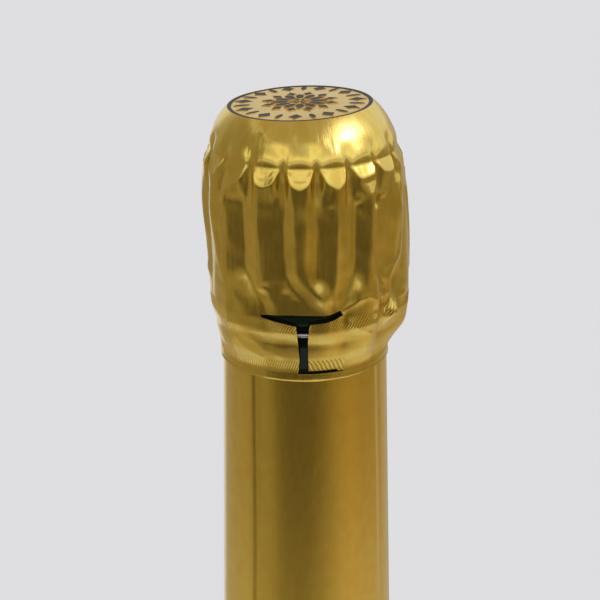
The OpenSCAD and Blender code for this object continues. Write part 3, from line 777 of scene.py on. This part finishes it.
# A crease is its points [azimuth, height], its width and height in millimetres. A dent is its
# azimuth, height, half width, half height and depth.
CREASES = [
    ([(-141.1, 11.8), (-137.4, 8.4), (-139.6, 5.5), (-140.6, 2.6), (-141.2, -2.3), (-140.7, -5.3),
      (-139.6, -8.9), (-138.4, -11.2), (-138.3, -15.4), (-137.5, -21)], 0.2, 0.1),
    ([(-156, 9.5), (-154.5, 7.2), (-153.4, 2.4), (-150.4, -2.2), (-147.8, -5.9), (-147, -7.8)], 0.4, 0.02),
    ([(-44.7, 12), (-49.3, 7.7), (-49.9, 3.1), (-50, 0.5), (-48.9, -2.9), (-46.6, -6.4), (-41.4, -9.7),
      (-37.6, -11.3)], 0.52, 0.26),
    ([(-47.6, -0.9), (-45.2, -4.5), (-42.2, -7.9), (-36.7, -9.6)], 0.22, 0.1),
    ([(-31.9, -11.1), (-30.5, -8.9), (-28.6, -6.9), (-24, -5.9), (-21.5, -4.5), (-21.5, -1), (-24, 3.5),
      (-27, 8)], 0.55, 0.28),
    ([(-68.4, -12.4), (-63.7, -11.6), (-57.1, -10.5), (-51.3, -10.0), (-45.2, -11.0), (-39.5, -12.8),
      (-37, -15)], 0.6, 0.17),
    ([(-97.5, 11.6), (-95, 11.0), (-92, 10.85), (-89, 11.0), (-86.6, 11.6)], 0.16, 0.07),
    ([(-118.5, 11.7), (-116.3, 11.1), (-113.2, 10.95), (-110, 11.1), (-107.8, 11.7)], 0.16, 0.07),
    ([(-12, 6), (-6, -2), (-3, -9)], 0.4, 0.2),
    ([(3, 8), (6, 1), (3, -8)], 0.4, 0.18),
    ([(60, 9), (63, 0), (59, -12)], 0.3, 0.16),
    ([(97, 9), (95, 1), (99, -11)], 0.3, 0.16),
    ([(160, 8), (163, -2), (158, -12)], 0.3, 0.16),
    ([(-128, -17.6), (-116, -18.4), (-104, -18.7), (-96, -18.4)], 0.9, 0.09),
    ([(-126, -16.6), (-117, -19.4), (-106, -20.2)], 0.7, 0.05),
    ([(-134, -18), (-128, -20), (-118, -21)], 0.7, 0.05),
    ([(-62, -14.5), (-56, -16), (-49, -17)], 0.6, 0.14),
]
DENTS = [
    (-43.8, 5.5, 0.5, 1.0, -0.34), (-38.6, 6.8, 0.8, 0.7, 0.2), (-74.9, 5.9, 0.5, 0.7, 0.12),
    (-57.6, 6.6, 0.6, 0.7, 0.16), (-21, 7.6, 0.8, 1.2, 0.25), (-134, -8.9, 1.5, 2.2, 0.17),
    (-115.6, -8.0, 1.2, 0.8, 0.26), (-101, -8.8, 0.6, 0.7, 0.1), (-80.5, -8.4, 1.0, 1.7, 0.36),
    (-76.5, -9.4, 1.0, 1.6, 0.36), (-57.2, -8.9, 0.9, 1.6, 0.34), (-35.3, -7.9, 0.6, 1.3, 0.3),
    (-26.8, -9, 1.0, 1.9, -0.3), (-28.5, -14.9, 1.5, 1.8, 1.45), (-32, -12.0, 0.35, 0.8, 0.14), (-29, -13.2, 0.3, 0.9, 0.16), (-34.5, -13.6, 0.5, 1.2, -0.3),
    (-16, -12.6, 1.3, 1.3, 0.45), (-32.4, -14.9, 0.4, 0.5, -0.2), (-27.3, -15.8, 0.6, 0.6, -0.3),
    (-46.5, -13.2, 0.9, 1.0, -0.3), (-104, -16.8, 2.4, 1.4, -0.1), (-76, -17.5, 3.2, 2.4, 0.2),
    (-52, -17.5, 2.4, 1.8, 0.05), (-118, -14.5, 2.4, 0.8, -0.06), (8, -6, 2.2, 2.0, -0.25),
    (75, -9, 1.8, 1.4, 0.2), (140, -8, 1.6, 1.4, -0.2), (185, -9, 1.8, 1.2, 0.2),
    (-115.5, 17.9, 0.9, 0.6, 0.13), (-92.5, 17.9, 0.7, 0.6, 0.12), (-107, 16.7, 1.6, 0.7, 0.09),
    (-95.5, 16.4, 0.8, 0.7, -0.06), (-84, 16.9, 1.7, 0.8, 0.08), (-72, 16.3, 0.8, 0.8, -0.05),
]


def creases(a, h):
    total = np.zeros(np.broadcast(a, h).shape)
    for points, width, height in CREASES:
        at = np.array(points, float)
        line = np.zeros(total.shape)
        for (a0, h0), (a1, h1) in zip(at[:-1], at[1:]):
            x, y = apart(a, a0) * 0.295, h - h0
            dx, dy = (a1 - a0) * 0.295, h1 - h0
            t = np.clip((x * dx + y * dy) / (dx * dx + dy * dy), 0, 1)
            far = np.hypot(x - t * dx, y - t * dy)
            line = np.maximum(line, np.exp(-((far / width) ** 1.5)))
        total = total + height * line
    for at_a, at_h, wide, tall, height in DENTS:
        x, y = apart(a, at_a) * 0.295 / wide, (h - at_h) / tall
        total = total + height * np.exp(-(x * x + y * y))
    return total


waves = [(shuffle.uniform(-180, 180), shuffle.uniform(-1.2, 1.2), k, shuffle.uniform(0.3, 1))
         for k in (3, 5, 8, 13, 21, 34, 47)]


def unevenness(a, h):
    total = 0
    for offset, slope, count, size in waves:
        total = total + size * np.cos(np.radians(count * (a - offset) + slope * count * h)) / count ** 0.6
    return total


def brushed(a, h):
    """Fine upright wrinkles where the foil was rubbed down over the crown."""
    return sum(np.cos(np.radians(n * a + 40 * n + k * 14 * h)) for n, k in ((67, 1), (89, -1.4), (113, 0.6)))


def foil_radius(a, h):
    """How far the foil stands from the bottle's axis, in millimetres."""
    phase = pleat_phase(a)
    u = np.abs(2 * (phase - np.round(phase)))
    size = np.interp(phase, range(PLEATS + 1), pleat_size)
    valley = valley_line(h)
    ridge = ridge_line(h + 0.35 * np.cos(np.radians(9 * a + 50)) + 0.25 * np.cos(np.radians(23 * a)))
    high = ease(0.98, 0.42, u)
    low = soft_least(0.97, (1 - u) / 0.7, 0.06)
    wall = valley + ridge * size * (low + (high - low) * ease(5, 8.5, h))
    around = (a - 170) % 360 - 190
    in_front = ease(-188, -178, around) * ease(-12, -20, around)
    aside = a + 0.3 * np.cos(0.5 * h + np.radians(7 * a)) + 0.12 * np.cos(1.3 * h + np.radians(17 * a))
    folds = sum(share * fold_height(aside + off, h, valley, ridge)
                for off, share in ((-1.5, 0.2), (-0.6, 0.3), (0.6, 0.3), (1.5, 0.2)))
    wall = wall + (folds - wall) * in_front * ease(10.8, 5.8, h)
    leg = np.max([bump(a, at, 6.5) for at in LEGS_AT], axis=0)
    leg = leg * (1 - in_front * ease(9.5, 6.0, h))
    wall = wall + np.maximum(0, over_leg(h) - wall) * leg
    wall = wall + np.maximum(0, over_loop(h) - wall) * bump(a, LOOP_AT, 15)
    flare = 0.38 + 0.25 * (u / 0.7) ** 2 + 0.28 * bump(a, -48, 9) + 0.12 * bump(a, -33, 7)
    tongue = crown_line(12.6) + flare * (12.6 - h)
    wall = soft_least(wall, tongue, 0.06)
    crown = crown_line(h + 0.75 * np.minimum(u / 0.77, 1) ** 2 * ease(16.5, 14, h))
    body = -soft_least(-wall, -crown, 0.05)
    body = np.where(h < 12.2, wall, crown + (body - crown) * ease(13.2, 12.2, h))
    body = body + (np.minimum(body, groove_line(h)) - body) * ease(0.66, 0.97, u) * ease(4.0, 9.5, h)
    groove = np.exp(-(((1 - u) / 0.12) ** 2)) * ease(15.8, 14.2, h) * ease(10, 12, h)
    body = body - 0.1 * groove
    rough = (0.03 * ease(13.5, 11.5, h) + 0.006) * unevenness(a, h) * ease(-24, -20, h)
    fine = 0.004 * ease(18.6, 16, h) * brushed(a, h) * ease(-10, -6, h)
    return body + creases(a, h) + rough + fine


def outward_of(points):
    """Unit normals of a grid of points [azimuth, height], pointing away from the axis."""
    across, along = np.gradient(points, axis=0), np.gradient(points, axis=1)
    normal = np.cross(across, along)
    return normal / np.linalg.norm(normal, axis=2, keepdims=True)


def foil_sheet(name, azimuths, heights, wall, closed, radius, material, lean=None):
    """A foil shell from grids of azimuths (degrees) and heights above the lip (mm), a row per azimuth."""
    h = np.asarray(heights, float)
    a = np.asarray(azimuths, float)
    a = (a[:, None] if a.ndim == 1 else a) + np.zeros_like(h)
    r = radius(a, h)
    x, y, z = r * np.cos(np.radians(a)), r * np.sin(np.radians(a)), h
    if lean:
        x, y, z = lean(x, y, z)
    outer = np.stack([x, y, z + LIP], axis=2)
    if closed:
        normal = outward_of(np.concatenate([outer[-1:], outer, outer[:1]]))[1:-1]
    else:
        normal = outward_of(outer)
    inner = outer - wall * normal
    columns, rows = h.shape
    size = columns * rows
    spans = columns if closed else columns - 1
    i, j = (g.ravel() for g in np.meshgrid(range(spans), range(rows - 1), indexing="ij"))
    p, q = i * rows + j, (i + 1) % columns * rows + j
    faces = [np.stack([p, q, q + 1, p + 1], 1), np.stack([p + 1, q + 1, q, p], 1) + size]
    k, top = np.arange(spans), rows - 1
    p, q = k * rows, (k + 1) % columns * rows
    faces.append(np.stack([p, p + size, q + size, q], 1))
    faces.append(np.stack([p + top, q + top, q + top + size, p + top + size], 1))
    if not closed:
        k, last = np.arange(rows - 1), (columns - 1) * rows
        faces.append(np.stack([k, k + 1, k + 1 + size, k + size], 1))
        faces.append(np.stack([last + k, last + k + size, last + k + 1 + size, last + k + 1], 1))
    inside = np.concatenate([np.full(len(f), n == 1) for n, f in enumerate(faces)])
    faces = np.concatenate(faces)
    points = np.concatenate([outer.reshape(-1, 3), inner.reshape(-1, 3)]) * MM
    mesh = bpy.data.meshes.new(name)
    mesh.from_pydata(points.tolist(), [], faces.tolist())
    mesh.update()
    mesh.polygons.foreach_set("material_index", inside.astype(np.int32))
    piece = bpy.data.objects.new(name, mesh)
    bpy.context.scene.collection.objects.link(piece)
    mesh.materials.append(material)
    mesh.materials.append(foil_back)
    flat_map(piece)
    nothing_selected()
    piece.select_set(True)
    bpy.context.view_layer.objects.active = piece
    bpy.ops.object.shade_smooth_by_angle(angle=math.radians(50))
    return piece


gold_foil = foil_material("gold_foil", (0.92, 0.70, 0.17), (0.88, 0.63, 0.13), 0.21, 0.018, 0.22)
foil_back = foil_material("foil_back", (0.74, 0.74, 0.75), (0.70, 0.70, 0.71), 0.36, 0.02, 0.0)

HOOD_LOW, CROWN_FROM, CROWN_TOP = -12.88, 12.9, 19.39
FOIL_WALL = 0.2
hood_azimuths = np.concatenate([np.arange(-178, -2, 0.6), np.arange(-2, 181.9, 2.4)])
wall_rows = np.linspace(HOOD_LOW, CROWN_FROM, 106)
crown_rows = CROWN_FROM + (CROWN_TOP - CROWN_FROM) * np.sin(np.linspace(0, 1, 25)[1:] * 1.45) / math.sin(1.45)
hood_rows = np.concatenate([wall_rows, crown_rows])
torn_up = np.interp(hood_azimuths, [-116.5, -112, -98, -86, -78, -73, -68.7, -66.5],
                    [0, 0.2, 0.5, 0.38, 0.28, 0.5, 0.95, 0])
lift = torn_up[:, None] * ease(-9.5, HOOD_LOW, hood_rows)[None, :]
hood = foil_sheet("hood", hood_azimuths, hood_rows[None, :] + lift, FOIL_WALL, True, foil_radius, gold_foil,
                  crown_lean)
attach(hood, "hood")
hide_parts("foil_hood")


# Tear strip: the same foil between two lines of slanted cuts, pulled at a tab to open the hood. It has
# started to tear beside the tab, where a T-shaped gap shows the glass and a bit of the belt wire.
STRIP_TOP, STRIP_LOW = -12.9, -23.5
TAB_ANGLE, LENGTHS = 22.0, 7
TAB_START, ROOT_END = -88.3, 265.7
length_angle = (ROOT_END - TAB_START - TAB_ANGLE) / (LENGTHS + 1)


def cuts(a, h, pitch, slant, low_end, high_end, depth):
    band = ease(low_end, low_end + 0.25, h) * ease(high_end, high_end - 0.25, h)
    return 0.5 * depth * band * np.cos(2 * math.pi * (a * 0.275 + slant * h) / pitch)


def strip_radius(a, h):
    r = foil_radius(a, h)
    from_gap = apart(a, -91.2)
    on_tab = ease(0, 0.5, from_gap) * ease(29, 26, from_gap)
    r = r + cuts(a, h, 0.46, -0.5, -15.6, -13.2, 0.08) * (1 - 0.8 * on_tab)
    r = r + cuts(a, h, 0.46, -0.35, -23.6, -21.5, 0.06) * (1 - on_tab)
    r = r + cuts(a, h, 0.78, 0.45, -23.5, -21.2, 0.14) * on_tab
    return r + 0.1 * np.exp(-((np.abs(from_gap) - 4) ** 2)) * ease(-16, -14.2, h)


def torn_edge(a):
    """How far the strip's top edge has sunk along the tear."""
    return np.interp(apart(a, -91.2), [-25.3, -25.0, -23, -17, -11, -5.5, 0, 6, 14, 19.5, 22.5, 25],
                     [0, 0.35, 0.55, 0.85, 1.1, 1.45, 1.5, 1.2, 1.0, 0.6, 0.2, 0])


def strip_piece(name, start, end, low_end=STRIP_LOW, start_edge=0, end_edge=0, columns=150, rows=94):
    """A length of the strip, whose end edges may be cut crooked by degrees given from foot to top."""
    along, up = np.linspace(0, 1, columns)[:, None], np.linspace(0, 1, rows)[None, :]
    azimuths = start + (end - start) * along + start_edge * (1 - along) ** 8 + end_edge * along ** 8
    top = STRIP_TOP - torn_edge(azimuths)
    heights = low_end + (top - low_end) * up
    piece = foil_sheet(name, azimuths, heights, FOIL_WALL, False, strip_radius, gold_foil)
    return piece


def hinge_point(azimuth, h=-18.0):
    r = float(foil_radius(np.array(azimuth), np.array(h))) * MM
    return (r * math.cos(math.radians(azimuth)), r * math.sin(math.radians(azimuth)), (LIP + h) * MM)


up = np.linspace(0, 1, 94)
left_edge = np.interp(up, [0, 0.08, 0.3, 0.65, 0.9, 1], [0.1, 0.4, 1.1, 0.3, -0.3, -0.6])[None, :]
root = strip_piece("strip_root_foil", ROOT_END - length_angle, ROOT_END, end_edge=left_edge)
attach(root, "bottle")
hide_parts("strip_root")

for number in range(1, LENGTHS + 1):
    to = ROOT_END - length_angle * number
    piece = strip_piece(f"strip_{number}_foil", to - length_angle, to)
    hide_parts(f"strip_{number}")
    hinge_point(to)
    hinge_point(to - 14)
    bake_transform(piece)

tab_end = TAB_START + TAB_ANGLE
along = np.linspace(0, 1, 150)
saw = 0.1 * np.abs((along * TAB_ANGLE * 0.275 / 0.78) % 1 - 0.5)
tab_low = (STRIP_LOW + (0.38 + saw) * ease(1.0, 0.85, along))[:, None]
right_edge = np.interp(up, [0, 0.1, 0.3, 0.65, 0.9, 1], [0.9, 0.9, 0.5, 0.45, 1.0, 1.4])[None, :]
tab = strip_piece("tear_tab_foil", TAB_START, tab_end, tab_low, start_edge=right_edge)
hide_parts("tear_tab")
hinge_point(tab_end)
hinge_point(tab_end - 7)
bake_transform(tab)


# Rim: the last of the hood's foil, left on the neck under the tear line, with its lower edge rolled
# out a little over the neck foil.
rim_line = [(14.7, -23.72), (14.76, -24.1), (14.74, -24.6), (14.8, -24.85), (14.86, -25.0), (14.8, -25.04),
            (14.64, -24.95), (14.56, -24.5), (14.52, -23.72)]
rim = turned("rim_foil", rim_line, 240)
spots = np.empty(len(rim.data.vertices) * 3)
rim.data.vertices.foreach_get("co", spots)
spots = spots.reshape(-1, 3)
a, h = np.degrees(np.arctan2(spots[:, 1], spots[:, 0])), spots[:, 2] / MM - LIP
foot = ease(-24.5, -25.0, h)
top = ease(-24.0, -23.75, h) * (1 - ease(-95, -93, a) * ease(-62, -64, a))
spots[:, 2] += 0.2 * MM * top
spots[:, :2] *= 1 + ((0.03 + 0.05 * foot) * unevenness(a, 0 * a))[:, None] / 15
spots[:, 2] += 0.05 * MM * foot * unevenness(a * 2, 0 * a)
rim.data.vertices.foreach_set("co", spots.ravel())
rim.data.update()
flat_map(rim)
rim.data.materials.append(gold_foil)
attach(rim, "bottle")
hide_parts("foil_rim")
